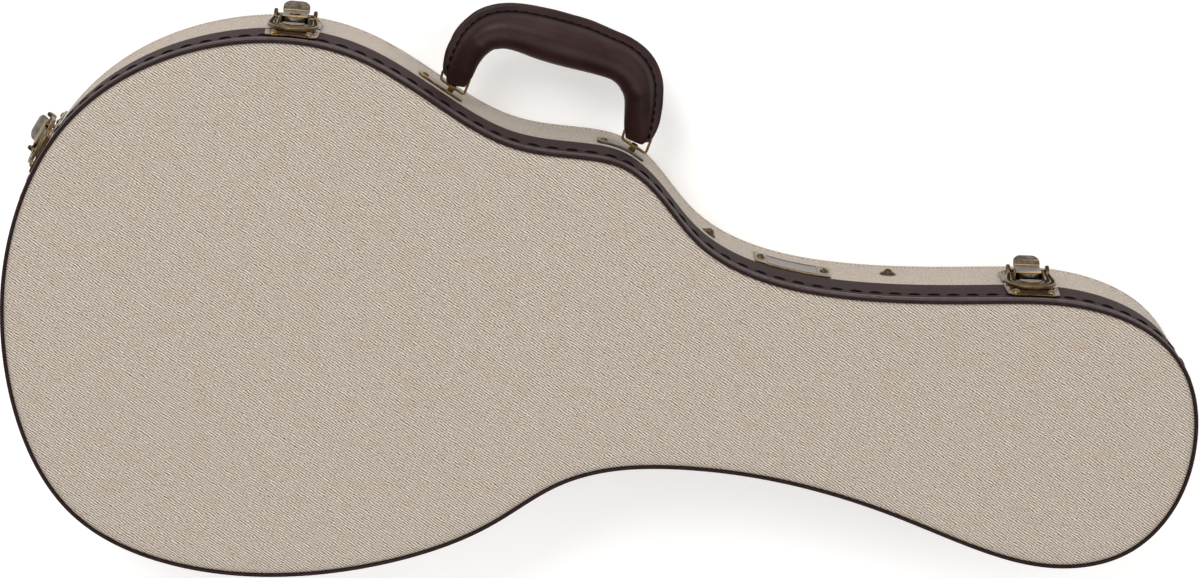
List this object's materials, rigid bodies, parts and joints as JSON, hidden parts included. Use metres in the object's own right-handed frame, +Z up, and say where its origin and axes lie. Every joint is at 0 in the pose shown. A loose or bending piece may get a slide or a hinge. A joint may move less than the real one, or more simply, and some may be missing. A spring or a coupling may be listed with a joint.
{
  "type": "mandolin case",
  "caption": "Hard shaped mandolin case: cloth-covered shell with stitched dark band, hinged lid, draw-loop latches, pivoting leather handle and padded inside with an accessory compartment.",
  "frame": {"origin": "centre of the plan outline's bounding rectangle (handle and hardware left out), on the outside bottom face; the closed case lies on its back", "axes": "+X towards the wide end where the instrument's body lies, +Z up out of the lid, so the handle and latches face -Y and the hinges +Y"},
  "size_m": [0.7732, 0.3743, 0.1142],
  "materials": {
    "cloth_covering": "woven beige twill glued over the shell",
    "plywood_shell": "plywood",
    "plush_lining": "dark brown plush over padding",
    "vinyl_band": "dark grey-brown leathercloth, stitched",
    "vinyl_bead": "dark red-brown leathercloth bead",
    "handle_leather": "dark brown smooth leather",
    "handle_filler": "firm filler inside the grip, hidden",
    "plate_pewter": "pale antique finish, blank",
    "latch_antique_brass": "dark antique finish with worn edges",
    "bright_brass": "worn gilt"
  },
  "bodies": {
    "case_body": {"body_bottom_panel": "cloth_covering", "body_side_wall": "cloth_covering", "body_inner_rim": "plywood_shell", "body_wall_lining": "plush_lining", "body_floor_pad": "plush_lining", "neck_cradle": "plush_lining", "compartment_end_wall": "plush_lining", "compartment_hinge_rail": "plush_lining", "latch_base_tail": "latch_antique_brass", "latch_base_bout": "latch_antique_brass", "latch_base_head": "latch_antique_brass", "lever_pin_tail": "bright_brass", "lever_pin_bout": "bright_brass", "lever_pin_head": "bright_brass", "handle_plate_bout": "bright_brass", "handle_plate_neck": "bright_brass", "name_plate": "plate_pewter", "name_plate_screw_bout": "bright_brass", "name_plate_screw_head": "bright_brass", "cradle_washer": "latch_antique_brass", "cradle_screw": "bright_brass", "compartment_washer": "latch_antique_brass", "compartment_screw": "bright_brass", "hinge_leaf_body_bout": "latch_antique_brass", "hinge_leaf_body_head": "latch_antique_brass", "hinge_pin_bout": "bright_brass", "hinge_pin_head": "bright_brass"},
    "case_lid": {"lid_top_panel": "cloth_covering", "lid_side_wall": "plywood_shell", "lid_band": "vinyl_band", "lid_edge_bead": "vinyl_bead", "lid_wall_lining": "plush_lining", "lid_lining_pad": "plush_lining", "catch_plate_tail": "latch_antique_brass", "catch_plate_bout": "latch_antique_brass", "catch_plate_head": "latch_antique_brass", "hinge_leaf_lid_bout": "latch_antique_brass", "hinge_leaf_lid_head": "latch_antique_brass"},
    "compartment_cover": {"compartment_lid": "plush_lining", "compartment_pull_tab": "handle_leather"},
    "lock": {"lock_cylinder": "bright_brass"},
    "ring_bout": {"handle_ring_bout": "bright_brass"},
    "ring_neck": {"handle_ring_neck": "bright_brass"},
    "handle": {"handle_grip": "handle_leather", "handle_core": "handle_filler", "handle_welt": "handle_leather"},
    "lever_tail": {"latch_lever_tail": "latch_antique_brass"},
    "loop_tail": {"latch_loop_tail": "latch_antique_brass", "loop_pin_tail": "bright_brass"},
    "lever_bout": {"latch_lever_bout": "latch_antique_brass"},
    "loop_bout": {"latch_loop_bout": "latch_antique_brass", "loop_pin_bout": "bright_brass"},
    "lever_head": {"latch_lever_head": "latch_antique_brass"},
    "loop_head": {"latch_loop_head": "latch_antique_brass", "loop_pin_head": "bright_brass"}
  },
  "joints": [
    {"name": "lid_hinge", "type": "hinge", "parent": "case_body", "child": "case_lid", "pos_m": [-0.04244, 0.17795, 0.0635], "axis": [-0.9999, -0.0108, 0], "range_deg": [0, 105]},
    {"name": "compartment_hinge", "type": "hinge", "parent": "case_body", "child": "compartment_cover", "pos_m": [0.01178, 0.07275, 0.0407], "axis": [-0.9871, 0.1599, 0], "range_deg": [0, 86]},
    {"name": "lever_tail_hinge", "type": "hinge", "parent": "case_body", "child": "lever_tail", "pos_m": [0.36376, -0.10549, 0.059], "axis": [-0.5214, -0.8533, 0], "range_deg": [0, 110]},
    {"name": "loop_tail_hinge", "type": "hinge", "parent": "lever_tail", "child": "loop_tail", "pos_m": [0.36324, -0.10517, 0.048], "axis": [-0.5214, -0.8533, 0], "range_deg": [-177, 0]},
    {"name": "lever_bout_hinge", "type": "hinge", "parent": "case_body", "child": "lever_bout", "pos_m": [0.19777, -0.18299, 0.059], "axis": [-0.9963, 0.0863, 0], "range_deg": [0, 110]},
    {"name": "loop_bout_hinge", "type": "hinge", "parent": "lever_bout", "child": "loop_bout", "pos_m": [0.19782, -0.18239, 0.048], "axis": [-0.9963, 0.0863, 0], "range_deg": [-177, 0]},
    {"name": "lever_head_hinge", "type": "hinge", "parent": "case_body", "child": "lever_head", "pos_m": [-0.28022, -0.01399, 0.059], "axis": [-0.9994, 0.0349, 0], "range_deg": [0, 110]},
    {"name": "loop_head_hinge", "type": "hinge", "parent": "lever_head", "child": "loop_head", "pos_m": [-0.2802, -0.01339, 0.048], "axis": [-0.9994, 0.0349, 0], "range_deg": [-177, 0]},
    {"name": "lock_turn", "type": "hinge", "parent": "lever_bout", "child": "lock", "pos_m": [0.19791, -0.1813, 0.0532], "axis": [-0.0863, -0.9963, 0], "range_deg": [0, 90]},
    {"name": "ring_bout_hinge", "type": "hinge", "parent": "case_body", "child": "ring_bout", "pos_m": [0.03735, -0.11554, 0.047], "axis": [0.9494, -0.314, 0], "range_deg": [-45, 45]},
    {"name": "ring_neck_hinge", "type": "hinge", "parent": "case_body", "child": "ring_neck", "pos_m": [0.03735, -0.11554, 0.047], "axis": [0.9494, -0.314, 0], "range_deg": [-45, 45]},
    {"name": "handle_hinge", "type": "hinge", "parent": "ring_bout", "child": "handle", "pos_m": [0.03452, -0.12409, 0.047], "axis": [0.9494, -0.314, 0], "range_deg": [-26, 26]}
  ],
  "couplings": [
    {"joint": "loop_tail_hinge", "follows": "lever_tail_hinge", "ratio": -1.6},
    {"joint": "loop_bout_hinge", "follows": "lever_bout_hinge", "ratio": -1.6},
    {"joint": "loop_head_hinge", "follows": "lever_head_hinge", "ratio": -1.6},
    {"joint": "ring_neck_hinge", "follows": "ring_bout_hinge", "ratio": 1},
    {"joint": "compartment_hinge", "follows": "lid_hinge", "ratio": 0.81}
  ]
}
